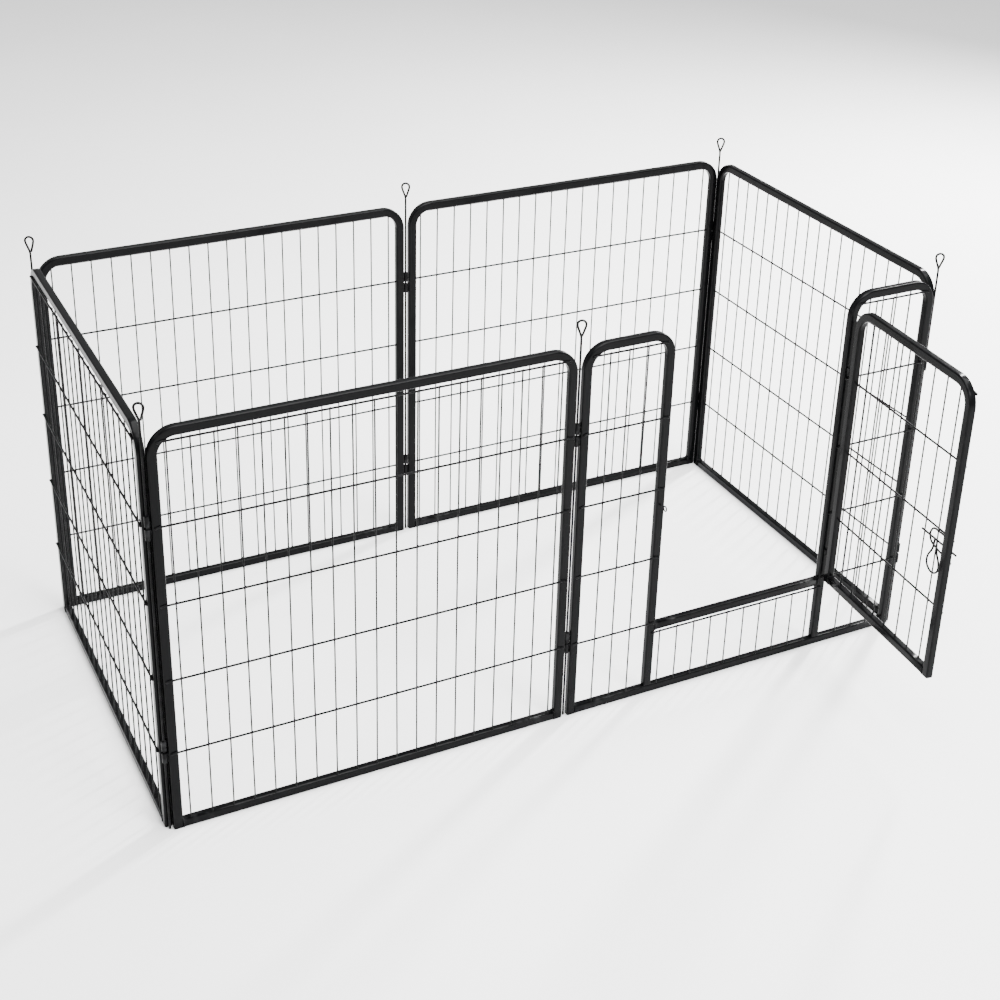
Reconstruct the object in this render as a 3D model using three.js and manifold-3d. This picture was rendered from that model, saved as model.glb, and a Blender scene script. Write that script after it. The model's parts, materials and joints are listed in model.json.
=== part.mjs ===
/*
 * Folding pet playpen: six hoop-topped steel panels in a two-by-one ring, joined by drop-in
 * hinge pins, with a door in one of the long sides.
 *
 * Millimetres, +Z up. X runs along the two-panel sides, Y across from the door side (-Y) to the
 * far side. The origin is on the floor, under the middle of the part's box with the door open.
 *
 * Every panel is built in its own group: x along the panel from its first pin axis to its
 * second, y inwards, z up from the floor. The door has a group of its own on its hinge axis:
 * x along the door, y towards its outer side.
 */
import * as THREE from "three";
import { mergeVertices } from "three/addons/utils/BufferGeometryUtils.js";
import Module from "manifold-3d";

const wasm = await Module();
wasm.setup();

const { degToRad } = THREE.MathUtils;

// Panels
const PITCH = 800; // from one pin axis to the next
const SKEW = 2.1; // how far the ring stands off square, in degrees
const HEIGHT = 791; // floor to the top of a hoop
const TUBE_WIDTH = 17.5; // in the plane of the panel
const TUBE_DEPTH = 14.5; // across the panel
const TUBE_CORNER = 3.5;
const BEND = 50; // outside radius of a hoop's top corners
const POST_GAP = 6; // pin axis to the edge of the post beside it
const CLEARANCE = 0.3; // between two pieces that touch

// Wires, modelled square with the area of the round wire
const EQUAL_AREA = Math.sqrt(Math.PI) / 2;
const LEVEL_WIRE = 3.8 * EQUAL_AREA;
const UPRIGHT_WIRE = 2.8 * EQUAL_AREA;
const WELD_DEPTH = 0.15; // how far crossing wires sink into each other
const ROD_SIDES = 8;
const BEND_STEPS = 2; // along each stretch of a bent rod
const LEVELS = [166, 316, 466, 616];
const TOP_LEVEL = 769;
const UPRIGHT_PITCH = 40.2;
const UPRIGHT_COUNT = 19;

// Pins and the eyes that they drop through
const PIN_DIAMETER = 4.2;
const PIN_TIP = 0.5;
const PIN_NECK = 808;
const PIN_TOP = 842;
const LOOP_WIDTH = 20.5;
const PIN_TURN = -25; // of each finger loop about its pin, in degrees
const EYE_RADIUS = 5;
const EYE_BORE = 2.6;
const EYE_HEIGHT = 20;
const EYE_STATIONS = [146, 592]; // underside of the lower eye of each stacked pair
const EYE_STEP = 25; // from a lower eye to the one above it

// Door panel
const DOORWAY_LEFT = 198; // inner edges of the two towers, from the first pin axis
const DOORWAY_RIGHT = 592.5;
const SILL_TOP = 163;
const SILL_LEVEL = 143;
const SILL_UPRIGHTS = 10;
const SILL_FIRST = 210;
const TOWER_PITCH = 40;
const LEFT_TOWER_FIRST = 59.3;
const RIGHT_TOWER_FIRST = 653;
const TOWER_UPRIGHTS = 3;

// Door
const DOOR_HINGE = { x: 600, y: -11.55 };
const DOOR_DIRECTION = 180 + 83.8; // closed, it points along -x
const DOOR_OFFSET = 3.95; // door's middle plane from its hinge axis
const DOOR_FIRST_EDGE = 5;
const DOOR_FREE_EDGE = 380.6;
const DOOR_TOP = 772;
const DOOR_LEVELS = [305, 457, 609];
const DOOR_TOP_LEVEL = 750;
const DOOR_UPRIGHTS = 8;
const DOOR_FIRST_UPRIGHT = 51.5;
const KNUCKLE_HEIGHT = 12;
const KNUCKLE_BASES = [220, 626];
const KNUCKLE_RADIUS = 4;
const KNUCKLE_BORE = 1.9;
const HINGE_PIN_DIAMETER = 3;

// Latch
const BOLT_DIAMETER = 4;
const BOLT_HEIGHT = 431;
const BOLT_OFFSET = 13.9; // bolt's axis from the door's hinge axis
const BOLT_START = 278;
const BOLT_TIP = 387;
const GUIDE_DIAMETER = 3.8;
const CATCH_X = 187;

const FACE = TUBE_DEPTH / 2;
const LEVEL_PLANE = FACE + CLEARANCE + LEVEL_WIRE / 2;
const UPRIGHT_PLANE = LEVEL_PLANE - LEVEL_WIRE / 2 - UPRIGHT_WIRE / 2 + WELD_DEPTH;

// ---------------------------------------------------------------------------- solids

/** A closed geometry as a manifold solid. */
function toSolid(geometry) {
  const bare = geometry.clone();
  bare.deleteAttribute("normal");
  bare.deleteAttribute("uv");
  const merged = mergeVertices(bare, 1e-4);
  return new wasm.Manifold(
    new wasm.Mesh({
      numProp: 3,
      vertProperties: new Float32Array(merged.attributes.position.array),
      triVerts: new Uint32Array(merged.index.array),
    }),
  );
}

/** Geometries welded into one. */
function join(geometries) {
  const [first, ...rest] = geometries.map(toSolid);
  const mesh = rest.reduce((sum, solid) => sum.add(solid), first).getMesh();
  const geometry = new THREE.BufferGeometry();
  geometry.setAttribute("position", new THREE.BufferAttribute(mesh.vertProperties, 3));
  geometry.setIndex(new THREE.BufferAttribute(mesh.triVerts, 1));
  geometry.computeVertexNormals();
  return geometry;
}

/** Points along an arc between two angles in degrees. */
function arc(x, y, radius, from, to, steps) {
  return Array.from({ length: steps + 1 }, (_, i) => {
    const angle = degToRad(from + ((to - from) * i) / steps);
    return new THREE.Vector2(x + radius * Math.cos(angle), y + radius * Math.sin(angle));
  });
}

/** A box between two corners. */
function block(low, high) {
  const size = new THREE.Vector3(...high).sub(new THREE.Vector3(...low));
  const geometry = new THREE.BoxGeometry(size.x, size.y, size.z);
  geometry.translate(low[0] + size.x / 2, low[1] + size.y / 2, low[2] + size.z / 2);
  return geometry;
}

/** A round rod between two points. */
function rod(start, end, diameter) {
  const from = new THREE.Vector3(...start);
  const along = new THREE.Vector3(...end).sub(from);
  const geometry = new THREE.CylinderGeometry(diameter / 2, diameter / 2, along.length(), ROD_SIDES);
  const up = new THREE.Vector3(0, 1, 0);
  const turn = new THREE.Quaternion().setFromUnitVectors(up, along.clone().normalize());
  geometry.applyQuaternion(turn);
  geometry.translate(...from.addScaledVector(along, 0.5).toArray());
  return geometry;
}

/** A round rod bent smoothly through several points. */
function bentRod(points, diameter) {
  const path = new THREE.CatmullRomCurve3(points.map((point) => new THREE.Vector3(...point)));
  const section = new THREE.Shape(arc(0, 0, diameter / 2, 0, 300, 5));
  const steps = BEND_STEPS * (points.length - 1);
  return new THREE.ExtrudeGeometry(section, { steps, extrudePath: path, bevelEnabled: false });
}

/** An upside-down U of square tube: two posts, two bends and the rail between them. */
function hoop(left, right, feet, top) {
  const inner = BEND - TUBE_WIDTH;
  const centre = { left: left + BEND, right: right - BEND, z: top - BEND };
  const outline = new THREE.Shape([
    new THREE.Vector2(left, feet.left),
    ...arc(centre.left, centre.z, BEND, 180, 90, 8),
    ...arc(centre.right, centre.z, BEND, 90, 0, 8),
    new THREE.Vector2(right, feet.right),
    new THREE.Vector2(right - TUBE_WIDTH, feet.right),
    ...arc(centre.right, centre.z, inner, 0, 90, 6),
    ...arc(centre.left, centre.z, inner, 90, 180, 6),
    new THREE.Vector2(left + TUBE_WIDTH, feet.left),
  ]);
  const geometry = new THREE.ExtrudeGeometry(outline, {
    depth: TUBE_DEPTH - 2 * TUBE_CORNER,
    bevelThickness: TUBE_CORNER,
    bevelSize: TUBE_CORNER,
    bevelOffset: -TUBE_CORNER,
    bevelSegments: 1,
  });
  geometry.translate(0, 0, TUBE_CORNER - TUBE_DEPTH / 2);
  geometry.rotateX(Math.PI / 2);
  return geometry;
}

/** A level length of the same tube, lying between two posts. */
function rail(left, right, bottom) {
  const x = TUBE_WIDTH / 2 - TUBE_CORNER;
  const y = TUBE_DEPTH / 2 - TUBE_CORNER;
  const section = new THREE.Shape([
    ...arc(x, y, TUBE_CORNER, 0, 90, 1),
    ...arc(-x, y, TUBE_CORNER, 90, 180, 1),
    ...arc(-x, -y, TUBE_CORNER, 180, 270, 1),
    ...arc(x, -y, TUBE_CORNER, 270, 360, 1),
  ]);
  const length = right - left - 2 * CLEARANCE;
  const geometry = new THREE.ExtrudeGeometry(section, { depth: length, bevelEnabled: false });
  geometry.rotateY(Math.PI / 2);
  geometry.translate(left + CLEARANCE, 0, bottom + TUBE_WIDTH / 2);
  return geometry;
}

/** Upright wires welded behind level ones. Each level is { z, left, right }. */
function wireGrid(uprights, levels, bottom, top) {
  const half = { level: LEVEL_WIRE / 2, upright: UPRIGHT_WIRE / 2 };
  const across = levels.map(({ z, left, right }) =>
    block(
      [left, -LEVEL_PLANE - half.level, z - half.level],
      [right, -LEVEL_PLANE + half.level, z + half.level],
    ),
  );
  const standing = uprights.map((x) =>
    block(
      [x - half.upright, -UPRIGHT_PLANE - half.upright, bottom],
      [x + half.upright, -UPRIGHT_PLANE + half.upright, top],
    ),
  );
  return join([...across, ...standing]);
}

/** Evenly spaced positions. */
function spaced(first, pitch, count) {
  return Array.from({ length: count }, (_, i) => first + pitch * i);
}

/** A bored eye about the z axis, with a tab reaching along +x to the face it is welded to. */
function eye(radius, bore, reach, tabWidth, height) {
  const start = THREE.MathUtils.radToDeg(Math.asin(tabWidth / 2 / radius));
  const outline = new THREE.Shape([
    ...arc(0, 0, radius, start, 360 - start, 8),
    new THREE.Vector2(reach, -tabWidth / 2),
    new THREE.Vector2(reach, tabWidth / 2),
  ]);
  outline.holes.push(new THREE.Path(arc(0, 0, bore, 360, 60, 5)));
  return new THREE.ExtrudeGeometry(outline, { depth: height, bevelEnabled: false });
}

// ---------------------------------------------------------------------------- pieces

/** Adds one piece of black powder-coated steel. */
function addPiece(group, name, geometry) {
  const material = new THREE.MeshStandardMaterial({ color: 0x1b1b1d, roughness: 0.42, metalness: 0.1 });
  const mesh = new THREE.Mesh(geometry, material);
  mesh.name = name;
  group.add(mesh);
}

/** The four hinge eyes of a panel; each end's pair is the upper or the lower one of its stack. */
function addEyes(group, panel, { first, second }) {
  const sides = [
    { name: "first", at: 0, turn: 0, place: first },
    { name: "second", at: PITCH, turn: Math.PI, place: second },
  ];
  for (const { name, at, turn, place } of sides) {
    EYE_STATIONS.forEach((base, station) => {
      const geometry = eye(EYE_RADIUS, EYE_BORE, POST_GAP - CLEARANCE, 6, EYE_HEIGHT);
      geometry.rotateZ(turn);
      geometry.translate(at, 0, base + (place === "upper" ? EYE_STEP : 0));
      addPiece(group, `${panel}_${name}_eye_${station === 0 ? "low" : "high"}`, geometry);
    });
  }
}

/** A plain panel: hoop, bottom rail, wire grid and four eyes. */
function addPlainPanel(group, panel, places) {
  const left = POST_GAP;
  const right = PITCH - POST_GAP;
  addPiece(group, `${panel}_hoop`, hoop(left, right, { left: 0, right: 0 }, HEIGHT));
  addPiece(group, `${panel}_bottom_rail`, rail(left + TUBE_WIDTH, right - TUBE_WIDTH, 0));
  const firstUpright = PITCH / 2 - (UPRIGHT_PITCH * (UPRIGHT_COUNT - 1)) / 2;
  const levels = LEVELS.map((z) => ({ z, left: left + 4, right: right - 4 }));
  levels.push({ z: TOP_LEVEL, left: left + 17, right: right - 17 });
  const uprights = spaced(firstUpright, UPRIGHT_PITCH, UPRIGHT_COUNT);
  const grid = wireGrid(uprights, levels, TUBE_WIDTH + CLEARANCE, TOP_LEVEL);
  addPiece(group, `${panel}_wire_grid`, grid);
  addEyes(group, panel, places);
}

/** One narrow, hoop-topped side of the door panel, with its own wire grid. */
function addTower(group, name, { left, right, feet, wireEnds, firstUpright }) {
  addPiece(group, `${name}_hoop`, hoop(left, right, feet, HEIGHT));
  const levels = LEVELS.map((z) => ({ z, left: wireEnds.left, right: wireEnds.right }));
  levels.push({ z: TOP_LEVEL, left: left + 17, right: right - 17 });
  const uprights = spaced(firstUpright, TOWER_PITCH, TOWER_UPRIGHTS);
  const grid = wireGrid(uprights, levels, TUBE_WIDTH + CLEARANCE, TOP_LEVEL);
  addPiece(group, `${name}_wire_grid`, grid);
}

/** The panel that holds the door: two towers on one long bottom rail, a sill and the catch. */
function addDoorPanel(group, places) {
  const leftEdge = POST_GAP;
  const rightEdge = PITCH - POST_GAP;
  const onRail = TUBE_WIDTH + CLEARANCE;
  addTower(group, "left_tower", {
    left: leftEdge,
    right: DOORWAY_LEFT,
    feet: { left: 0, right: onRail },
    wireEnds: { left: leftEdge + 4, right: DOORWAY_LEFT - 4 },
    firstUpright: LEFT_TOWER_FIRST,
  });
  addTower(group, "right_tower", {
    left: DOORWAY_RIGHT,
    right: rightEdge,
    feet: { left: onRail, right: 0 },
    wireEnds: { left: DOORWAY_RIGHT + 4.5, right: rightEdge - 4 },
    firstUpright: RIGHT_TOWER_FIRST,
  });
  addPiece(group, "sill_rail", rail(DOORWAY_LEFT, DOORWAY_RIGHT, SILL_TOP - TUBE_WIDTH));
  addPiece(group, "door_panel_bottom_rail", rail(leftEdge + TUBE_WIDTH, rightEdge - TUBE_WIDTH, 0));
  const sillGrid = wireGrid(
    spaced(SILL_FIRST, TOWER_PITCH, SILL_UPRIGHTS),
    [{ z: SILL_LEVEL, left: DOORWAY_LEFT - 8, right: DOORWAY_RIGHT + 8 }],
    TUBE_WIDTH + CLEARANCE,
    SILL_LEVEL,
  );
  addPiece(group, "sill_wire_grid", sillGrid);
  addEyes(group, "door_panel", places);
  addPiece(group, "catch_ring", catchRing());
}

/** Eye on the left tower that the bolt slides into, with its bore along x, and its tab. */
function catchRing() {
  const thickness = 3;
  const y = DOOR_HINGE.y - BOLT_OFFSET;
  const geometry = eye(6.2, 3.6, -FACE - CLEARANCE - y, 4, thickness);
  const axes = [new THREE.Vector3(0, 1, 0), new THREE.Vector3(0, 0, 1), new THREE.Vector3(1, 0, 0)];
  geometry.applyMatrix4(new THREE.Matrix4().makeBasis(...axes));
  geometry.translate(CATCH_X - thickness / 2, y, BOLT_HEIGHT);
  return geometry;
}

/** The two knuckles on the right tower, as one welded strap would space them. */
function addKnuckles(group) {
  KNUCKLE_BASES.forEach((base, station) => {
    const reach = -FACE - CLEARANCE - DOOR_HINGE.y;
    const geometry = eye(KNUCKLE_RADIUS, KNUCKLE_BORE, reach, 5, KNUCKLE_HEIGHT);
    geometry.rotateZ(Math.PI / 2);
    geometry.translate(DOOR_HINGE.x, DOOR_HINGE.y, base);
    addPiece(group, `door_knuckle_${station === 0 ? "low" : "high"}`, geometry);
  });
}

/** The door's hoop with the hinge hooks that hang in the knuckles. */
function doorHoop() {
  const feet = { left: SILL_TOP, right: SILL_TOP };
  const frame = hoop(DOOR_FIRST_EDGE, DOOR_FREE_EDGE, feet, DOOR_TOP);
  frame.translate(0, DOOR_OFFSET, 0);
  const hooks = KNUCKLE_BASES.flatMap((base) => {
    const armBottom = base + KNUCKLE_HEIGHT + 1;
    return [
      rod([0, 0, base - 2], [0, 0, armBottom + 4], HINGE_PIN_DIAMETER),
      block([-1.5, -1.5, armBottom], [DOOR_FIRST_EDGE + 1.5, 1.5, armBottom + 6]),
    ];
  });
  return join([frame, ...hooks]);
}

/** The door's wires, on its outer side. */
function doorGrid() {
  const left = DOOR_FIRST_EDGE + 4;
  const right = DOOR_FREE_EDGE - 4;
  const levels = DOOR_LEVELS.map((z) => ({ z, left, right }));
  levels.push({ z: DOOR_TOP_LEVEL, left: left + 3, right: right - 3 });
  const uprights = spaced(DOOR_FIRST_UPRIGHT, (UPRIGHT_PITCH + TOWER_PITCH) / 2, DOOR_UPRIGHTS);
  const grid = wireGrid(uprights, levels, SILL_TOP + TUBE_WIDTH + CLEARANCE, DOOR_TOP_LEVEL);
  grid.rotateZ(Math.PI);
  grid.translate(DOOR_FIRST_EDGE + DOOR_FREE_EDGE, DOOR_OFFSET, 0);
  return grid;
}

/** Bent wire in front of the bolt, standing on the door's free post. */
function latchGuide() {
  const front = BOLT_OFFSET + BOLT_DIAMETER / 2 + CLEARANCE + GUIDE_DIAMETER / 2;
  const post = DOOR_OFFSET + FACE + CLEARANCE;
  const end = DOOR_FREE_EDGE - TUBE_WIDTH / 2;
  const wire = bentRod(
    [
      [end - 5, front, 448],
      [320, front, 448],
      [303, front, 445],
      [298, front, 431],
      [303, front, 418],
      [330, front, 410],
      [end, front, 405],
    ],
    GUIDE_DIAMETER,
  );
  const feet = [
    rod([end, post, 405], [end, front + 1.2, 405], GUIDE_DIAMETER),
    rod([end - 5, post, 448], [end - 5, front + 1.2, 448], GUIDE_DIAMETER),
  ];
  return join([wire, ...feet]);
}

/** The sliding bolt and the handle loop that hangs from it. */
function latchBolt() {
  const handle = [
    [320, BOLT_OFFSET, BOLT_HEIGHT],
    [317, BOLT_OFFSET, 405],
    [306, BOLT_OFFSET, 384],
    [310, BOLT_OFFSET, 368],
    [324, BOLT_OFFSET, 362],
    [338, BOLT_OFFSET, 368],
    [341, BOLT_OFFSET, 384],
    [330, BOLT_OFFSET, 405],
    [327, BOLT_OFFSET, BOLT_HEIGHT],
  ];
  return join([
    rod([BOLT_START, BOLT_OFFSET, BOLT_HEIGHT], [BOLT_TIP, BOLT_OFFSET, BOLT_HEIGHT], BOLT_DIAMETER),
    bentRod(handle, BOLT_DIAMETER),
  ]);
}

/** A hinge pin: a straight rod with a fan-shaped finger loop bent from its top. */
function hingePin() {
  const shoulder = { x: LOOP_WIDTH / 2 - PIN_DIAMETER / 2, z: PIN_TOP - 10 };
  const crown = PIN_TOP - PIN_DIAMETER / 2;
  const loop = [
    [0, 0, PIN_NECK - 2],
    [-shoulder.x, 0, shoulder.z - 3],
    [-shoulder.x + 1, 0, shoulder.z + 3],
    [-shoulder.x / 2, 0, crown - 1],
    [0, 0, crown],
    [shoulder.x / 2, 0, crown - 1],
    [shoulder.x - 1, 0, shoulder.z + 3],
    [shoulder.x, 0, shoulder.z - 3],
    [PIN_DIAMETER + 1, 0, PIN_NECK + 6],
  ];
  return join([rod([0, 0, PIN_TIP], [0, 0, PIN_NECK], PIN_DIAMETER), bentRod(loop, PIN_DIAMETER)]);
}

// ---------------------------------------------------------------------------- assembly

/** A group standing on the floor at (x, y), turned about z by an angle in degrees. */
function placed(parent, x, y, turn) {
  const group = new THREE.Group();
  group.position.set(x, y, 0);
  group.rotation.z = degToRad(turn);
  parent.add(group);
  return group;
}

const ring = new THREE.Group();

// Panels, going round from the front left corner. The far side is as long as the door side,
// and stands a little to the right of it.
const shift = { x: PITCH * Math.sin(degToRad(SKEW)), y: PITCH * Math.cos(degToRad(SKEW)) };
const frontLeft = placed(ring, 0, 0, 0);
const doorPanel = placed(ring, PITCH, 0, 0);
const right = placed(ring, 2 * PITCH, 0, 90 - SKEW);
const backRight = placed(ring, 2 * PITCH + shift.x, shift.y, 180);
const backLeft = placed(ring, PITCH + shift.x, shift.y, 180);
const left = placed(ring, shift.x, shift.y, 270 - SKEW);

addPlainPanel(frontLeft, "front_left", { first: "lower", second: "upper" });
addDoorPanel(doorPanel, { first: "lower", second: "upper" });
addKnuckles(doorPanel);
addPlainPanel(right, "right", { first: "lower", second: "lower" });
addPlainPanel(backRight, "back_right", { first: "upper", second: "lower" });
addPlainPanel(backLeft, "back_left", { first: "upper", second: "lower" });
addPlainPanel(left, "left", { first: "upper", second: "upper" });

const door = placed(doorPanel, DOOR_HINGE.x, DOOR_HINGE.y, DOOR_DIRECTION);
addPiece(door, "door_hoop", doorHoop());
const doorRail = rail(DOOR_FIRST_EDGE + TUBE_WIDTH, DOOR_FREE_EDGE - TUBE_WIDTH, SILL_TOP);
doorRail.translate(0, DOOR_OFFSET, 0);
addPiece(door, "door_bottom_rail", doorRail);
addPiece(door, "door_wire_grid", doorGrid());
addPiece(door, "latch_guide", latchGuide());
addPiece(door, "latch_bolt", latchBolt());

// Pins, one for each joint of the ring
for (const [name, x, y] of [
  ["front_left_corner", 0, 0],
  ["front_middle", PITCH, 0],
  ["front_right_corner", 2 * PITCH, 0],
  ["back_right_corner", 2 * PITCH + shift.x, shift.y],
  ["back_middle", PITCH + shift.x, shift.y],
  ["back_left_corner", shift.x, shift.y],
]) {
  addPiece(placed(ring, x, y, PIN_TURN), `${name}_pin`, hingePin());
}

// Origin under the middle of the whole part
const middle = new THREE.Box3().setFromObject(ring, true).getCenter(new THREE.Vector3());
ring.position.set(-middle.x, -middle.y, 0);

const playpen = new THREE.Group();
playpen.add(ring);

export default playpen;
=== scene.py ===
"""Folding pet playpen of black powder-coated tube and wire, with drop-in pins and an open door."""

import json
import math
import random

import bmesh
import bpy
from mathutils import Euler, Matrix, Vector


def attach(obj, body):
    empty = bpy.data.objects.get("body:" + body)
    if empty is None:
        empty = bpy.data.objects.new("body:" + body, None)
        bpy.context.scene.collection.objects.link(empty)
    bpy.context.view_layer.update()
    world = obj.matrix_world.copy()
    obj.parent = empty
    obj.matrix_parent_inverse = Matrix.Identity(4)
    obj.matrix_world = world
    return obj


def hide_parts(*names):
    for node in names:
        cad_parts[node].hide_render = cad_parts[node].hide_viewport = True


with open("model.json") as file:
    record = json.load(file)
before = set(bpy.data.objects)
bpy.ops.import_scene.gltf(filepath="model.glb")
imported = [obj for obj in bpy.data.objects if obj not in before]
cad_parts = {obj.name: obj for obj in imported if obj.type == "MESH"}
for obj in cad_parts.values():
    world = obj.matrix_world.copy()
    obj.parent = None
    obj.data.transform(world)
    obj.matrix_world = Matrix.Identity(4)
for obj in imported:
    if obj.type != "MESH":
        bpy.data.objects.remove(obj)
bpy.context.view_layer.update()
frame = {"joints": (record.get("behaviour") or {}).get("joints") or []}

# Sizes are in millimetres, in the frame of a panel: x from its first pin axis to its second,
# y inwards, z up from the floor. The door's own frame has x along the door from its hinge axis
# and y towards its outer side.
MM = 0.001

# Panel
PITCH = 800.0
HEIGHT = 791.0
POST_GAP = 6.0

# Tube
TUBE_WIDTH = 17.5
TUBE_DEPTH = 14.5
TUBE_CORNER = 3.2
CORNER_STEPS = 4
BEND = 50.0
BEND_STEPS = 18
BEND_PINCH = 0.9
POST_STEPS = 8
TOP_STEPS = 6
RAIL_STEPS = 8
CREASE_DEPTH = 0.42
CREASE_REACH = 7.0
CREASE_STEP = 1.5
CREASE_STEPS = 12
WELD_RADIUS = 0.95

# Wires
LEVEL_RADIUS = 1.9
UPRIGHT_RADIUS = 1.4
LEVELS = (166.0, 316.0, 466.0, 616.0)
TOP_LEVEL = 769.0
UPRIGHT_PITCH = 40.2
UPRIGHT_COUNT = 19
LEVEL_STEPS = 14
UPRIGHT_STEPS = 10
END_DROP = 2.2
LAP = 4.0
STRAIGHT_FROM = 8.0
TOP_LEVEL_INSET = 17.0
WELD_SINK = 0.2
END_WELD = (2.7, 1.6, 2.5)
FOOT_WELD = (2.2, 2.0, 1.3)
SPOT_WELD = (2.1, 0.9, 2.2)

# Pins and eyes
PIN_RADIUS = 2.1
PIN_NECK = 808.0
PIN_TOP = 841.0
LOOP_WIDTH = 20.5
LOOP_SHOULDER = 11.0
PIN_TURN = -25.0
EYE_RADIUS = 5.0
EYE_BORE = 2.35
EYE_HEIGHT = 20.0
EYE_TAB = 6.0
EYE_EDGE = 0.5
EYE_REACH = POST_GAP + 0.4
EYE_STATIONS = (("low", 146.0), ("high", 592.0))
EYE_STEP = 25.0

# Door panel
DOORWAY_LEFT = 198.0
DOORWAY_RIGHT = 592.5
SILL_TOP = 163.0
SILL_LEVEL = 143.0
SILL_LAP = 8.0
SILL_FIRST_UPRIGHT = 210.0
SILL_UPRIGHT_COUNT = 10
TOWER_PITCH = 40.0
TOWER_UPRIGHT_COUNT = 3
LEFT_TOWER_FIRST_UPRIGHT = 59.3
RIGHT_TOWER_FIRST_UPRIGHT = 653.0
RIGHT_TOWER_LAP = 4.5

# Door
DOOR_ANGLE = 180.0 + 83.8
DOOR_HINGE_X = 600.0
DOOR_HINGE_Y = -11.55
DOOR_OFFSET = 3.95
DOOR_FIRST_EDGE = 5.0
DOOR_FREE_EDGE = 380.6
DOOR_TOP = 772.0
DOOR_LEVELS = (305.0, 457.0, 609.0)
DOOR_TOP_LEVEL = 750.0
DOOR_TOP_LEVEL_INSET = 7.0
DOOR_FIRST_UPRIGHT = 51.5
DOOR_UPRIGHT_PITCH = 40.1
DOOR_UPRIGHT_COUNT = 8
KNUCKLES = (("low", 220.0), ("high", 626.0))
KNUCKLE_RADIUS = 4.0
KNUCKLE_BORE = 1.8
KNUCKLE_HEIGHT = 12.0
KNUCKLE_REACH = 4.4
KNUCKLE_TAB = 5.0
HOOK_RADIUS = 1.5
HOOK_LIFT = 3.8
HOOK_OFFSET = 0.6

# Latch. The bolt, its handle and the guide are in the door's frame, as (x, z) or, for the side of
# the handle, as (distance from its middle, z). The catch is in the door panel's frame.
BOLT_RADIUS = 2.0
BOLT_HEIGHT = 431.0
BOLT_OFFSET = 13.9
BOLT_START = 278.0
BOLT_MIDDLE = 330.0
BOLT_TIP = 387.0
HANDLE_X = 323.5
HANDLE_NECK = 3.5
HANDLE_SIDE = ((HANDLE_NECK, BOLT_HEIGHT), (5.5, 408), (18.5, 388), (18.5, 371), (6.0, 361.5))
HANDLE_WELD = (2.8, 1.95, 2.8)
GUIDE_RADIUS = 1.9
GUIDE_TOP = 448.0
GUIDE_FOOT = 405.0
GUIDE_STEP = 5.0
GUIDE_NOSE = ((306, 447), (297, 431), (304, 416), (330, 410))
GUIDE_WELD = (3.2, 1.6, 2.4)
CATCH_X = 187.0
CATCH_RADIUS = 4.9
CATCH_WIRE = 1.3
CATCH_STEM = 1.4
CATCH_WELD = (2.4, 1.0, 2.6)

FACE = TUBE_DEPTH / 2
LEVEL_PLANE = FACE + LEVEL_RADIUS - WELD_SINK
UPRIGHT_PLANE = LEVEL_PLANE - LEVEL_RADIUS - UPRIGHT_RADIUS + WELD_SINK

X = Vector((1, 0, 0))
Y = Vector((0, 1, 0))
Z = Vector((0, 0, 1))

# Stage, in metres, degrees and watts. A light is its name, place, target, size and power.
FLOOR_REACH = 30.0
SKY_STRENGTH = 0.85
LIGHTS = (
    ("key", (1.2, -3.6, 3.4), (0, 0, 0.3), (1.6, 1.0), 240),
    ("overhead", (0.6, -0.6, 4.4), (0.1, -0.2, 0), (5.0, 4.0), 700),
    ("rim", (3.6, 1.8, 2.6), (0, 0.2, 0.3), (0.35, 2.4), 550),
)
CAMERA_PLACE = (-1.4799, -2.6407, 2.0371)
CAMERA_TURN = (63.182, -1.107, -26.929)
CAMERA_LENS = 63.24
CAMERA_SHIFT = (0.021, -0.0617)


# ------------------------------------------------------------------ materials


class Nodes:
    """A material's node tree, with short calls to add nodes and link them."""

    def __init__(self, name):
        self.material = bpy.data.materials.new(name)
        self.material.use_nodes = True
        self.tree = self.material.node_tree
        self.tree.nodes.clear()
        self.shader = self.add("ShaderNodeBsdfPrincipled")
        output = self.add("ShaderNodeOutputMaterial")
        self.link(self.shader.outputs["BSDF"], output.inputs["Surface"])
        self.place = self.add("ShaderNodeTexCoord").outputs["Object"]

    def add(self, kind, **settings):
        node = self.tree.nodes.new(kind)
        for key, value in settings.items():
            setattr(node, key, value)
        return node

    def link(self, out, into):
        self.tree.links.new(out, into)

    def noise(self, scale, detail=2.0, rough=0.5):
        node = self.add("ShaderNodeTexNoise")
        node.inputs["Scale"].default_value = scale
        node.inputs["Detail"].default_value = detail
        node.inputs["Roughness"].default_value = rough
        self.link(self.place, node.inputs["Vector"])
        return node.outputs["Fac"]

    def ramp(self, value, low, high, start=0.0, end=1.0):
        node = self.add("ShaderNodeMapRange", clamp=True)
        self.link(value, node.inputs["Value"])
        for key, number in (("From Min", low), ("From Max", high), ("To Min", start), ("To Max", end)):
            node.inputs[key].default_value = number
        return node.outputs["Result"]

    def math(self, operation, first, second):
        node = self.add("ShaderNodeMath", operation=operation)
        for socket, value in zip(node.inputs, (first, second)):
            if isinstance(value, (int, float)):
                socket.default_value = value
            else:
                self.link(value, socket)
        return node.outputs["Value"]

    def mix(self, factor, first, second):
        node = self.add("ShaderNodeMix", data_type="RGBA")
        self.link(factor, node.inputs["Factor"])
        for socket, value in ((node.inputs["A"], first), (node.inputs["B"], second)):
            if isinstance(value, tuple):
                socket.default_value = (*value, 1.0)
            else:
                self.link(value, socket)
        return node.outputs["Result"]

    def bump(self, height, distance, strength, under=None):
        node = self.add("ShaderNodeBump")
        node.inputs["Strength"].default_value = strength
        node.inputs["Distance"].default_value = distance
        self.link(height, node.inputs["Height"])
        if under is not None:
            self.link(under, node.inputs["Normal"])
        return node.outputs["Normal"]


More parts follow.
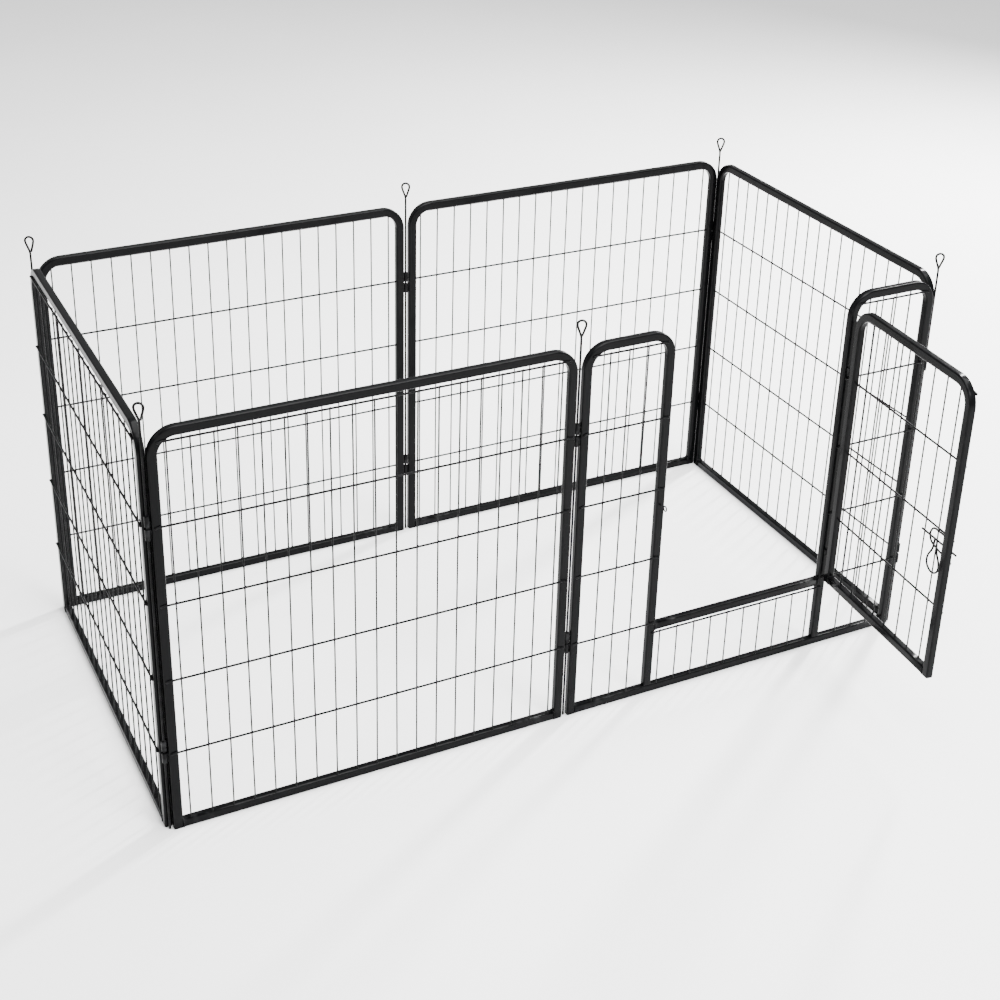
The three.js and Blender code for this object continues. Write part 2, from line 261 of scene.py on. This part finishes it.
def coated_steel(name, black, gloss, peel, wear):
    """Black powder coat: orange peel, cloudy gloss, pale specks and thin worn edges.

    gloss is the range of its roughness, peel the strength of its bump and wear that of the edges.
    """
    n = Nodes(name)
    shader = n.shader
    cloud = n.noise(scale=9.0, detail=4.0, rough=0.55)
    deep = tuple(0.72 * value for value in black)
    tone = n.mix(n.ramp(cloud, 0.35, 0.65), deep, black)
    speck = n.noise(scale=900.0, detail=1.0)
    dusty = tuple(3.0 * value + 0.002 for value in black)
    tone = n.mix(n.ramp(speck, 0.68, 0.78, 0.0, 0.25), tone, dusty)
    edge = n.add("ShaderNodeNewGeometry").outputs["Pointiness"]
    patches = n.noise(scale=60.0, detail=3.0)
    rub = n.math("MULTIPLY", n.ramp(edge, 0.52, 0.6), n.ramp(patches, 0.45, 0.7, 0.0, wear))
    worn = (0.05, 0.05, 0.052)
    n.link(n.mix(rub, tone, worn), shader.inputs["Base Color"])
    smooth = n.ramp(n.noise(scale=24.0, detail=3.0), 0.3, 0.7, *gloss)
    fine = n.ramp(n.noise(scale=420.0, detail=1.0), 0.3, 0.7, -0.035, 0.035)
    n.link(n.math("ADD", smooth, fine), shader.inputs["Roughness"])
    shader.inputs["Specular IOR Level"].default_value = 0.035
    shader.inputs["Coat Weight"].default_value = 0.04
    shader.inputs["Coat Roughness"].default_value = 0.08
    waves = n.bump(n.noise(scale=110.0), 0.0004, peel)
    grain = n.bump(n.noise(scale=620.0), 0.00012, peel, under=waves)
    n.link(grain, shader.inputs["Normal"])
    return n.material


TUBE_PAINT = coated_steel("powder_coated_tube", (0.0024, 0.0025, 0.0028), (0.14, 0.25), 0.06, 0.5)
WIRE_PAINT = coated_steel("powder_coated_wire", (0.0022, 0.0022, 0.0025), (0.34, 0.5), 0.35, 0.3)
PIN_PAINT = coated_steel("rubbed_pin", (0.0022, 0.0022, 0.0025), (0.28, 0.44), 0.3, 0.8)


# ------------------------------------------------------------------ shapes


class Shape:
    """The vertices and faces of one piece."""

    def __init__(self):
        self.points = []
        self.faces = []

    def skin(self, rings, closed=False):
        """Joins a row of equal rings. The row closes on itself, or both of its ends are capped."""
        base = len(self.points)
        rows, count = len(rings), len(rings[0])
        for ring in rings:
            self.points.extend(ring)
        for row in range(rows if closed else rows - 1):
            here = base + row * count
            there = base + (row + 1) % rows * count
            for i in range(count):
                j = (i + 1) % count
                self.faces.append((here + i, here + j, there + j, there + i))
        if not closed:
            self.faces.append(tuple(base + i for i in reversed(range(count))))
            self.faces.append(tuple(base + (rows - 1) * count + i for i in range(count)))

    def moved(self, matrix):
        self.points = [matrix @ point for point in self.points]
        return self

    def add(self, other):
        base = len(self.points)
        self.points.extend(other.points)
        self.faces.extend(tuple(base + i for i in face) for face in other.faces)
        return self


def circle(radius, sides):
    """Points around a circle, counter-clockwise about its centre."""
    turns = (math.tau * i / sides for i in range(sides))
    return [(radius * math.cos(turn), radius * math.sin(turn)) for turn in turns]


def rounded_box(width, height, corner, steps=CORNER_STEPS):
    """Outline of a rectangle with round corners, counter-clockwise about its centre."""
    outline = []
    centres = ((1, 1, 0), (-1, 1, 90), (-1, -1, 180), (1, -1, 270))
    for side, up, start in centres:
        for i in range(steps + 1):
            turn = math.radians(start + 90 * i / steps)
            across = side * (width / 2 - corner) + corner * math.cos(turn)
            along = up * (height / 2 - corner) + corner * math.sin(turn)
            outline.append((across, along))
    return outline


def rod(path, radius, sides, closed=False):
    """A round rod along a path of points, with slightly rounded ends."""
    path = [Vector(point) for point in path]
    count = len(path)
    rings = []
    side = None
    for i, point in enumerate(path):
        before = path[(i - 1) % count] if closed or i else point
        after = path[(i + 1) % count] if closed or i < count - 1 else point
        along = (after - before).normalized()
        if side is None:
            side = along.orthogonal().normalized()
        side = (side - along * side.dot(along)).normalized()
        across = along.cross(side)
        rings.append((point, along, side, across))
    shape = Shape()

    def ring(place, scale, slide=0.0):
        point, along, side, across = place
        middle = point + along * slide
        return [middle + (side * a + across * b) * scale for a, b in circle(radius, sides)]

    body = [ring(place, 1.0) for place in rings]
    if not closed:
        round_off = 0.35 * radius
        start, end = rings[0], rings[-1]
        body[0] = ring(start, 1.0, round_off)
        body[-1] = ring(end, 1.0, -round_off)
        body = [ring(start, 0.7)] + body + [ring(end, 0.7)]
    shape.skin(body, closed)
    return shape


def bent(corners, bend, steps=6):
    """A path through corner points, each inner corner rounded off over the length bend."""
    corners = [Vector(point) for point in corners]
    path = [corners[0]]
    for before, corner, after in zip(corners, corners[1:], corners[2:]):
        arrive = corner + (before - corner).normalized() * min(bend, (before - corner).length / 2)
        leave = corner + (after - corner).normalized() * min(bend, (after - corner).length / 2)
        for i in range(steps + 1):
            t = i / steps
            path.append((1 - t) ** 2 * arrive + 2 * t * (1 - t) * corner + t * t * leave)
    path.append(corners[-1])
    return path


def blob(centre, size, sides=8, rows=5):
    """A flattened ball, as a spot weld."""
    centre, size = Vector(centre), Vector(size)
    rings = []
    for row in range(rows):
        lift = math.pi * (0.12 + 0.76 * row / (rows - 1))
        reach, height = math.sin(lift), -math.cos(lift)
        ring = [Vector((a * size.x, b * size.y, height * size.z)) for a, b in circle(reach, sides)]
        rings.append([centre + point for point in ring])
    shape = Shape()
    shape.skin(rings)
    return shape


def bead(path, radius, rng, closed=True):
    """A weld bead along a path: a string of overlapping, uneven ripples."""
    sides = 6
    points = []
    for i, point in enumerate(path):
        after = path[(i + 1) % len(path)]
        if not closed and i == len(path) - 1:
            points.append(point)
            break
        pieces = max(1, round((after - point).length / (0.8 * radius)))
        points.extend(point.lerp(after, k / pieces) for k in range(pieces))
    shape = rod(points, radius, sides, closed)
    for start in range(0, len(shape.points), sides):
        ring = shape.points[start : start + sides]
        middle = sum(ring, Vector()) / sides
        swell = 1.0 + 0.28 * math.sin(start / sides * 1.9) + rng.uniform(-0.12, 0.12)
        shape.points[start : start + sides] = [middle + (point - middle) * swell for point in ring]
    return shape


def turned(profile):
    """A closed (radius, z) profile turned about the z axis."""
    sides = 32
    rings = []
    for i in range(sides):
        turn = math.tau * i / sides
        rings.append([Vector((r * math.cos(turn), r * math.sin(turn), z)) for r, z in profile])
    shape = Shape()
    shape.skin(rings, closed=True)
    return shape


def slab(low, high):
    """A block with rounded long edges, its length along z."""
    corner, bevel = 0.54, 0.36
    low, high = Vector(low), Vector(high)
    size, middle = high - low, (high + low) / 2
    rings = []
    for z, inset in ((low.z, bevel), (low.z + bevel, 0), (high.z - bevel, 0), (high.z, bevel)):
        outline = rounded_box(size.x - 2 * inset, size.y - 2 * inset, corner, 3)
        rings.append([Vector((middle.x + a, middle.y + b, z)) for a, b in outline])
    shape = Shape()
    shape.skin(rings)
    return shape


# ------------------------------------------------------------------ tube


def tube_ring(centre, outward, pinch=0.0, ripple=0.0, inset=0.0):
    """One ring of tube. The wall on the inside of a bend is drawn in, and creased as it starts."""
    ring = []
    corner = TUBE_CORNER - 0.6 * inset
    for across, out in rounded_box(TUBE_DEPTH - 2 * inset, TUBE_WIDTH - 2 * inset, corner):
        flat = 1 - (across / FACE) ** 2
        if out < 0:
            out += (pinch + ripple) * max(0.0, flat)
        ring.append(centre + Y * across + outward * out)
    return ring


def crease(distance, phase):
    """Depth of the small wrinkles around the start of a bend, at a distance along the tube."""
    return CREASE_DEPTH * math.exp(-((distance / CREASE_REACH) ** 2)) * math.sin(distance * 1.15 + phase)


def hoop(left, right, feet, top, rng):
    """Two posts, two bends and the rail between them, in one length of tube."""
    half = TUBE_WIDTH / 2
    middle = BEND - half
    spring = top - BEND
    near_bend = [spring - CREASE_STEP * k for k in range(CREASE_STEPS, 0, -1)]

    def post(x, outward, foot, upwards):
        phase = rng.uniform(0, 6)
        levels = [foot + 1.2, foot + 3.0]
        levels += [foot + (spring - foot) * k / POST_STEPS for k in range(1, POST_STEPS)]
        levels += near_bend
        part = [tube_ring(Vector((x, 0, foot)), outward, inset=1.3)]
        part.append(tube_ring(Vector((x, 0, foot + 0.4)), outward, inset=0.35))
        for z in levels:
            part.append(tube_ring(Vector((x, 0, z)), outward, ripple=crease(z - spring, phase)))
        return part if upwards else part[::-1]

    def bend(x, start, end, post_end):
        phase = rng.uniform(0, 6)
        part = []
        for i in range(BEND_STEPS + 1):
            turn = math.radians(start + (end - start) * i / BEND_STEPS)
            outward = Vector((math.cos(turn), 0, math.sin(turn)))
            centre = Vector((x, 0, spring)) + outward * middle
            pinch = BEND_PINCH * math.sin(math.pi * i / BEND_STEPS) ** 0.7
            from_post = middle * abs(turn - math.radians(post_end))
            part.append(tube_ring(centre, outward, pinch, crease(from_post, phase)))
        return part

    run = right - left - 2 * BEND
    across = [Vector((left + BEND + run * k / TOP_STEPS, 0, top - half)) for k in range(1, TOP_STEPS)]
    rings = post(left + half, -X, feet[0], upwards=True)
    rings += bend(left + BEND, 180, 90, post_end=180)
    rings += [tube_ring(centre, Z) for centre in across]
    rings += bend(right - BEND, 90, 0, post_end=0)
    rings += post(right - half, X, feet[1], upwards=False)
    shape = Shape()
    shape.skin(rings)
    return shape


def weld_collar(x, z, facing, rng):
    """Weld bead around the end of a rail where it meets a post, kept clear of the floor."""
    outline = rounded_box(TUBE_DEPTH + 0.6, TUBE_WIDTH + 0.6, TUBE_CORNER + 0.3)
    path = [Vector((x + facing * 0.5, a, max(z + b, 1.4 * WELD_RADIUS))) for a, b in outline]
    return bead(path, WELD_RADIUS, rng)


def rail(left, right, bottom, rng):
    """A level length of tube between two posts, welded at both ends."""
    z = bottom + TUBE_WIDTH / 2
    section = rounded_box(TUBE_DEPTH, TUBE_WIDTH, TUBE_CORNER)
    stations = [left + (right - left) * k / RAIL_STEPS for k in range(RAIL_STEPS + 1)]
    shape = Shape()
    shape.skin([[Vector((x, -a, z + b)) for a, b in section] for x in stations])
    shape.add(weld_collar(left, z, 1, rng))
    shape.add(weld_collar(right, z, -1, rng))
    return shape


# ------------------------------------------------------------------ wires


def level_wire(z, left, right, rng):
    """A level wire on the outer side. Its ends turn down a little where they lie on the posts."""
    bow = rng.uniform(-0.7, 0.4)
    turn_down = ((0.0, END_DROP), (2.5, 0.55 * END_DROP))
    path = [(left + inset, -LEVEL_PLANE, z - drop) for inset, drop in turn_down]
    start, end = left + STRAIGHT_FROM, right - STRAIGHT_FROM
    for k in range(LEVEL_STEPS + 1):
        t = k / LEVEL_STEPS
        sag = bow * math.sin(math.pi * t) + rng.uniform(-0.12, 0.12)
        path.append((start + (end - start) * t, -LEVEL_PLANE, z + sag))
    path += [(right - inset, -LEVEL_PLANE, z - drop) for inset, drop in reversed(turn_down)]
    return rod(path, LEVEL_RADIUS, 12)


def upright_wire(x, bottom, top, rng):
    """An upright wire behind the level ones, never quite straight."""
    lean = rng.uniform(-0.5, 0.5)
    bow = rng.uniform(-0.8, 0.8)
    path = []
    for k in range(UPRIGHT_STEPS + 1):
        t = k / UPRIGHT_STEPS
        drift = lean * (t - 0.5) + bow * math.sin(math.pi * t)
        path.append((x + drift, -UPRIGHT_PLANE, bottom + (top - bottom) * t))
    return rod(path, UPRIGHT_RADIUS, 10)


def wire_grid(uprights, levels, bottom, top, rng):
    """Level and upright wires with a spot weld wherever two cross, and at every wire's end."""
    shape = Shape()
    for z, left, right in levels:
        shape.add(level_wire(z, left, right, rng))
        for x in (left + 1.5, right - 1.5):
            shape.add(blob((x, -FACE - 0.9, z - 1.8), END_WELD))
    for x in uprights:
        shape.add(upright_wire(x, bottom, top, rng))
        shape.add(blob((x, -UPRIGHT_PLANE + 0.3, bottom + 0.5), FOOT_WELD))
        for z, left, right in levels:
            if left < x < right:
                shape.add(blob((x, -FACE - 0.1, z), SPOT_WELD))
    return shape


def spaced(first, pitch, count):
    """Places at an even pitch."""
    return [first + pitch * i for i in range(count)]


# ------------------------------------------------------------------ fittings


def eye(radius, bore, height, reach, tab, rng):
    """A short sleeve about the z axis with a tab along +x and weld beads where it meets the post."""
    edge = EYE_EDGE
    lower = [(bore, edge), (bore + edge, 0.0), (radius - edge, 0.0), (radius, edge)]
    shape = turned(lower + [(r, height - z) for r, z in reversed(lower)])
    half = tab / 2 - 0.8
    shape.add(slab((bore + 0.4, -half, 0.8), (reach, half, height - 0.8)))
    for side in (-1, 1):
        path = [Vector((reach - 0.7, side * (half + 0.3), z)) for z in (1.2, height - 1.2)]
        shape.add(bead(path, 0.9, rng, closed=False))
    return shape


def hinge_pin():
    """A straight rod whose top is bent round into a finger loop, with its end beside the rod."""
    half = LOOP_WIDTH / 2 - PIN_RADIUS
    crown = PIN_TOP - PIN_RADIUS
    shoulder = PIN_TOP - LOOP_SHOULDER
    side = [(half - 0.2, 0, shoulder - 1), (half - 0.6, 0, shoulder + 5), (3.0, 0, crown + 0.2)]
    corners = [(0, 0, PIN_NECK - 24), (0, 0, PIN_NECK)]
    corners += [(-x, y, z) for x, y, z in side] + side[::-1]
    corners.append((1.2, PIN_RADIUS * 2, PIN_NECK - 1))
    path = [(0, 0, 0.5), (0, 0, 2.0)]
    path += [(0, 0, PIN_NECK * k / 10) for k in range(1, 10)]
    path += bent(corners, 6.0, 8)
    return rod(path, PIN_RADIUS, 14)


def door_frame(rng):
    """The door's hoop, with the two hooks that hang in the knuckles."""
    shape = hoop(DOOR_FIRST_EDGE, DOOR_FREE_EDGE, (SILL_TOP, SILL_TOP), DOOR_TOP, rng)
    shape.moved(Matrix.Translation((0, DOOR_OFFSET, 0)))
    for _, base in KNUCKLES:
        arm = base + KNUCKLE_HEIGHT + HOOK_LIFT
        corners = [(0, 0, base - 2), (0, 0, arm), (DOOR_FIRST_EDGE + 1.5, HOOK_OFFSET, arm)]
        shape.add(rod(bent(corners, 3.0), HOOK_RADIUS, 12))
        ring = [Vector((DOOR_FIRST_EDGE - 0.1, HOOK_OFFSET + a, arm + b)) for a, b in circle(2.0, 10)]
        shape.add(bead(ring, 0.75, rng))
    return shape


def door_wires(rng):
    """The door's wires, made with the hinge at the far end and then turned to its outer side."""
    both = DOOR_FIRST_EDGE + DOOR_FREE_EDGE
    levels = [(z, DOOR_FIRST_EDGE + LAP, DOOR_FREE_EDGE - LAP) for z in DOOR_LEVELS]
    inset = DOOR_TOP_LEVEL_INSET
    levels.append((DOOR_TOP_LEVEL, DOOR_FIRST_EDGE + inset, DOOR_FREE_EDGE - inset))
    last = DOOR_FIRST_UPRIGHT + (DOOR_UPRIGHT_COUNT - 1) * DOOR_UPRIGHT_PITCH
    uprights = spaced(both - last, DOOR_UPRIGHT_PITCH, DOOR_UPRIGHT_COUNT)
    shape = wire_grid(uprights, levels, SILL_TOP + TUBE_WIDTH, DOOR_TOP_LEVEL, rng)
    about = Matrix.Translation((both, DOOR_OFFSET, 0))
    return shape.moved(about @ Matrix.Rotation(math.pi, 4, "Z"))


def latch_guide():
    """Bent wire in front of the bolt, with both of its feet on the door's free post."""
    front = BOLT_OFFSET + BOLT_RADIUS + GUIDE_RADIUS + 0.15
    face = DOOR_OFFSET + FACE + 0.4
    end = DOOR_FREE_EDGE - TUBE_WIDTH / 2
    top, foot = (end - GUIDE_STEP, GUIDE_TOP), (end, GUIDE_FOOT)
    run = [(x, front, z) for x, z in (top, *GUIDE_NOSE, foot)]
    corners = [(top[0], face, top[1]), *run, (foot[0], face, foot[1])]
    shape = rod(bent(corners, 8.0), GUIDE_RADIUS, 12)
    for x, z in (top, foot):
        shape.add(blob((x, face + 0.9, z), GUIDE_WELD, 10, 6))
    return shape


def latch_bolt():
    """Sliding bolt with a teardrop handle of wire hanging from it."""
    path = [(x, BOLT_OFFSET, BOLT_HEIGHT) for x in (BOLT_START, BOLT_MIDDLE, BOLT_TIP)]
    shape = rod(path, BOLT_RADIUS, 14)
    left = [(HANDLE_X - reach, BOLT_OFFSET, z) for reach, z in HANDLE_SIDE]
    right = [(HANDLE_X + reach, BOLT_OFFSET, z) for reach, z in HANDLE_SIDE]
    shape.add(rod(bent(left + right[::-1], 9.0), BOLT_RADIUS - 0.05, 12))
    for x in (HANDLE_X - HANDLE_NECK, HANDLE_X + HANDLE_NECK):
        shape.add(blob((x, BOLT_OFFSET, BOLT_HEIGHT - 1.0), HANDLE_WELD, 10, 6))
    return shape


def catch_ring():
    """Eye on the left tower for the bolt, with its bore along x."""
    y = DOOR_HINGE_Y - BOLT_OFFSET
    ring = [(CATCH_X, y + a, BOLT_HEIGHT + b) for a, b in circle(CATCH_RADIUS, 28)]
    shape = rod(ring, CATCH_WIRE, 12, closed=True)
    stem = [(CATCH_X, y + CATCH_RADIUS + 0.3, BOLT_HEIGHT), (CATCH_X, -FACE - 0.4, BOLT_HEIGHT)]
    shape.add(rod(stem, CATCH_STEM, 12))
    shape.add(blob((CATCH_X, -FACE - 0.5, BOLT_HEIGHT), CATCH_WELD, 10, 6))
    return shape


# ------------------------------------------------------------------ pieces


def place(shape, name, matrix, body, material, slot, *nodes):
    """Makes a shape into a smooth mesh piece that stands for its CAD nodes and rides on its body."""
    to_world = matrix @ Matrix.Scale(MM, 4)
    mesh = bpy.data.meshes.new(name)
    mesh.from_pydata([to_world @ point for point in shape.points], [], shape.faces)
    work = bmesh.new()
    work.from_mesh(mesh)
    bmesh.ops.recalc_face_normals(work, faces=work.faces)
    work.to_mesh(mesh)
    work.free()
    mesh.shade_smooth()
    mesh.materials.append(material)
    piece = bpy.data.objects.new(name, mesh)
    bpy.context.scene.collection.objects.link(piece)
    normals = piece.modifiers.new("normals", "WEIGHTED_NORMAL")
    normals.keep_sharp = True
    normals.weight = 80
    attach(piece, body)
    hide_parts(*nodes)


def upright_frame(origin, along):
    """The matrix of an upright frame at a point, its x axis along a level direction."""
    x = Vector(along).normalized()
    y = Z.cross(x)
    matrix = Matrix((x, y, Z)).transposed().to_4x4()
    matrix.translation = origin
    return matrix


def place_eyes(panel, body, matrix, places, rng):
    """The four eyes of a panel. places says which eye of a stacked pair is its own at each end."""
    ends = (("first", 0.0, 0.0, places[0]), ("second", PITCH, math.pi, places[1]))
    for end, x, turn, level in ends:
        for station, base in EYE_STATIONS:
            shape = eye(EYE_RADIUS, EYE_BORE, EYE_HEIGHT, EYE_REACH, EYE_TAB, rng)
            lift = base + (EYE_STEP if level == "upper" else 0.0)
            shape.moved(Matrix.Translation((x, 0, lift)) @ Matrix.Rotation(turn, 4, "Z"))
            node = f"{panel}_{end}_eye_{station}"
            place(shape, node + "_sleeve", matrix, body, TUBE_PAINT, "tube_paint", node)


def plain_panel(panel, matrix, places, seed):
    """A hoop with a bottom rail, a grid of wires and four eyes."""
    rng = random.Random(seed)
    body = panel + "_panel"
    left, right = POST_GAP, PITCH - POST_GAP
    inner_left, inner_right = left + TUBE_WIDTH, right - TUBE_WIDTH
    place(hoop(left, right, (0, 0), HEIGHT, rng), panel + "_bent_tube", matrix, body,
          TUBE_PAINT, "tube_paint", panel + "_hoop")
    place(rail(inner_left, inner_right, 0, rng), panel + "_welded_rail", matrix, body,
          TUBE_PAINT, "tube_paint", panel + "_bottom_rail")
    levels = [(z, left + LAP, right - LAP) for z in LEVELS]
    levels.append((TOP_LEVEL, left + TOP_LEVEL_INSET, right - TOP_LEVEL_INSET))
    first = (PITCH - UPRIGHT_PITCH * (UPRIGHT_COUNT - 1)) / 2
    grid = wire_grid(spaced(first, UPRIGHT_PITCH, UPRIGHT_COUNT), levels, TUBE_WIDTH, TOP_LEVEL, rng)
    place(grid, panel + "_welded_wires", matrix, body, WIRE_PAINT, "wire_paint", panel + "_wire_grid")
    place_eyes(panel, body, matrix, places, rng)


def door_panel(matrix, seed):
    """Two narrow hoops on a long bottom rail, with a sill and its wires between them."""
    rng = random.Random(seed)
    body = "door_panel"
    left, right = POST_GAP, PITCH - POST_GAP

    def tower(name, start, end, feet, wire_start, first):
        place(hoop(start, end, feet, HEIGHT, rng), name + "_bent_tube", matrix, body,
              TUBE_PAINT, "tube_paint", name + "_hoop")
        levels = [(z, wire_start, end - LAP) for z in LEVELS]
        levels.append((TOP_LEVEL, start + TOP_LEVEL_INSET, end - TOP_LEVEL_INSET))
        uprights = spaced(first, TOWER_PITCH, TOWER_UPRIGHT_COUNT)
        grid = wire_grid(uprights, levels, TUBE_WIDTH, TOP_LEVEL, rng)
        place(grid, name + "_welded_wires", matrix, body, WIRE_PAINT, "wire_paint", name + "_wire_grid")

    tower("left_tower", left, DOORWAY_LEFT, (0, TUBE_WIDTH), left + LAP, LEFT_TOWER_FIRST_UPRIGHT)
    tower("right_tower", DOORWAY_RIGHT, right, (TUBE_WIDTH, 0), DOORWAY_RIGHT + RIGHT_TOWER_LAP,
          RIGHT_TOWER_FIRST_UPRIGHT)
    place(rail(left + TUBE_WIDTH, right - TUBE_WIDTH, 0, rng), "door_panel_welded_rail", matrix, body,
          TUBE_PAINT, "tube_paint", "door_panel_bottom_rail")
    place(rail(DOORWAY_LEFT, DOORWAY_RIGHT, SILL_TOP - TUBE_WIDTH, rng), "sill_welded_rail", matrix, body,
          TUBE_PAINT, "tube_paint", "sill_rail")
    sill_level = (SILL_LEVEL, DOORWAY_LEFT - SILL_LAP, DOORWAY_RIGHT + SILL_LAP)
    uprights = spaced(SILL_FIRST_UPRIGHT, TOWER_PITCH, SILL_UPRIGHT_COUNT)
    sill = wire_grid(uprights, [sill_level], TUBE_WIDTH, SILL_LEVEL, rng)
    place(sill, "sill_welded_wires", matrix, body, WIRE_PAINT, "wire_paint", "sill_wire_grid")
    place_eyes("door_panel", body, matrix, ("lower", "upper"), rng)
    place(catch_ring(), "catch_ring_wire", matrix, body, WIRE_PAINT, "wire_paint", "catch_ring")
    for station, base in KNUCKLES:
        shape = eye(KNUCKLE_RADIUS, KNUCKLE_BORE, KNUCKLE_HEIGHT, KNUCKLE_REACH, KNUCKLE_TAB, rng)
        turn = Matrix.Rotation(math.pi / 2, 4, "Z")
        shape.moved(Matrix.Translation((DOOR_HINGE_X, DOOR_HINGE_Y, base)) @ turn)
        node = "door_knuckle_" + station
        place(shape, node + "_sleeve", matrix, body, TUBE_PAINT, "tube_paint", node)


def door(matrix, seed):
    """The door's frame and wires, with the latch on its free post."""
    rng = random.Random(seed)
    place(door_frame(rng), "door_bent_tube", matrix, "door", TUBE_PAINT, "tube_paint", "door_hoop")
    bottom = rail(DOOR_FIRST_EDGE + TUBE_WIDTH, DOOR_FREE_EDGE - TUBE_WIDTH, SILL_TOP, rng)
    bottom.moved(Matrix.Translation((0, DOOR_OFFSET, 0)))
    place(bottom, "door_welded_rail", matrix, "door", TUBE_PAINT, "tube_paint", "door_bottom_rail")
    place(door_wires(rng), "door_welded_wires", matrix, "door", WIRE_PAINT, "wire_paint", "door_wire_grid")
    place(latch_guide(), "latch_guide_wire", matrix, "door", WIRE_PAINT, "wire_paint", "latch_guide")
    place(latch_bolt(), "latch_bolt_rod", matrix, "latch_bolt", WIRE_PAINT, "wire_paint", "latch_bolt")


# ------------------------------------------------------------------ stage


def area_light(name, location, target, size, power):
    """A soft rectangular light aimed at a target."""
    data = bpy.data.lights.new(name, "AREA")
    data.shape = "RECTANGLE"
    data.size, data.size_y = size
    data.energy = power
    light = bpy.data.objects.new(name, data)
    light.location = location
    aim = Vector(target) - Vector(location)
    light.rotation_euler = aim.to_track_quat("-Z", "Y").to_euler()
    bpy.context.scene.collection.objects.link(light)


def build_stage():
    """A wide pale floor, an even sky and the lights."""
    mesh = bpy.data.meshes.new("floor")
    corners = [(FLOOR_REACH * x, FLOOR_REACH * y, 0) for x, y in ((-1, -1), (1, -1), (1, 1), (-1, 1))]
    mesh.from_pydata(corners, [], [(0, 1, 2, 3)])
    floor = bpy.data.objects.new("floor", mesh)
    bpy.context.scene.collection.objects.link(floor)
    n = Nodes("pale_floor")
    tone = n.mix(n.ramp(n.noise(scale=0.8), 0.3, 0.7), (0.9, 0.9, 0.9), (0.94, 0.94, 0.94))
    n.link(tone, n.shader.inputs["Base Color"])
    n.shader.inputs["Roughness"].default_value = 0.7
    n.shader.inputs["Specular IOR Level"].default_value = 0.2
    mesh.materials.append(n.material)
    world = bpy.data.worlds.new("studio")
    world.use_nodes = True
    sky = world.node_tree.nodes["Background"]
    sky.inputs["Color"].default_value = (1.0, 1.0, 1.0, 1.0)
    sky.inputs["Strength"].default_value = SKY_STRENGTH
    bpy.context.scene.world = world
    for light in LIGHTS:
        area_light(*light)


def build_camera():
    """The camera in front of the left corner, above the panels."""
    data = bpy.data.cameras.new("camera")
    data.sensor_width = 36.0
    data.lens = CAMERA_LENS
    data.shift_x, data.shift_y = CAMERA_SHIFT
    camera = bpy.data.objects.new("camera", data)
    camera.location = CAMERA_PLACE
    camera.rotation_euler = Euler([math.radians(angle) for angle in CAMERA_TURN])
    bpy.context.scene.collection.objects.link(camera)
    bpy.context.scene.camera = camera


# ------------------------------------------------------------------ assembly

build_camera()
build_stage()

pivot = {joint["name"]: Vector(joint["pos_m"]) for joint in frame["joints"] if "pos_m" in joint}
front_left_corner = pivot["front_left_corner_fold"]
front_middle = pivot["front_middle_fold"]
back_left_corner = pivot["back_left_corner_fold"]
back_middle = pivot["back_middle_fold"]
back_right_corner = pivot["back_right_corner_fold"]
front_right_corner = back_right_corner - back_left_corner + front_left_corner

# Each plain panel: its two pin axes, which eye of each stacked pair is its own, a seed
PLAIN = (
    ("front_left", front_left_corner, front_middle, ("lower", "upper"), 11),
    ("right", front_right_corner, back_right_corner, ("lower", "lower"), 12),
    ("back_right", back_right_corner, back_middle, ("upper", "lower"), 13),
    ("back_left", back_middle, back_left_corner, ("upper", "lower"), 14),
    ("left", back_left_corner, front_left_corner, ("upper", "upper"), 15),
)
for panel, first, second, places, seed in PLAIN:
    plain_panel(panel, upright_frame(first, second - first), places, seed)
door_panel(upright_frame(front_middle, front_right_corner - front_middle), 16)
swing = math.radians(DOOR_ANGLE)
door(upright_frame(pivot["door_swing"], (math.cos(swing), math.sin(swing), 0)), 17)

PINS = (
    ("front_left_corner", front_left_corner),
    ("front_middle", front_middle),
    ("front_right_corner", front_right_corner),
    ("back_right_corner", back_right_corner),
    ("back_middle", back_middle),
    ("back_left_corner", back_left_corner),
)
loop_turn = math.radians(PIN_TURN)
for corner, point in PINS:
    matrix = upright_frame(point, (math.cos(loop_turn), math.sin(loop_turn), 0))
    node = corner + "_pin"
    place(hinge_pin(), node + "_rod", matrix, node, PIN_PAINT, "pin_paint", node)
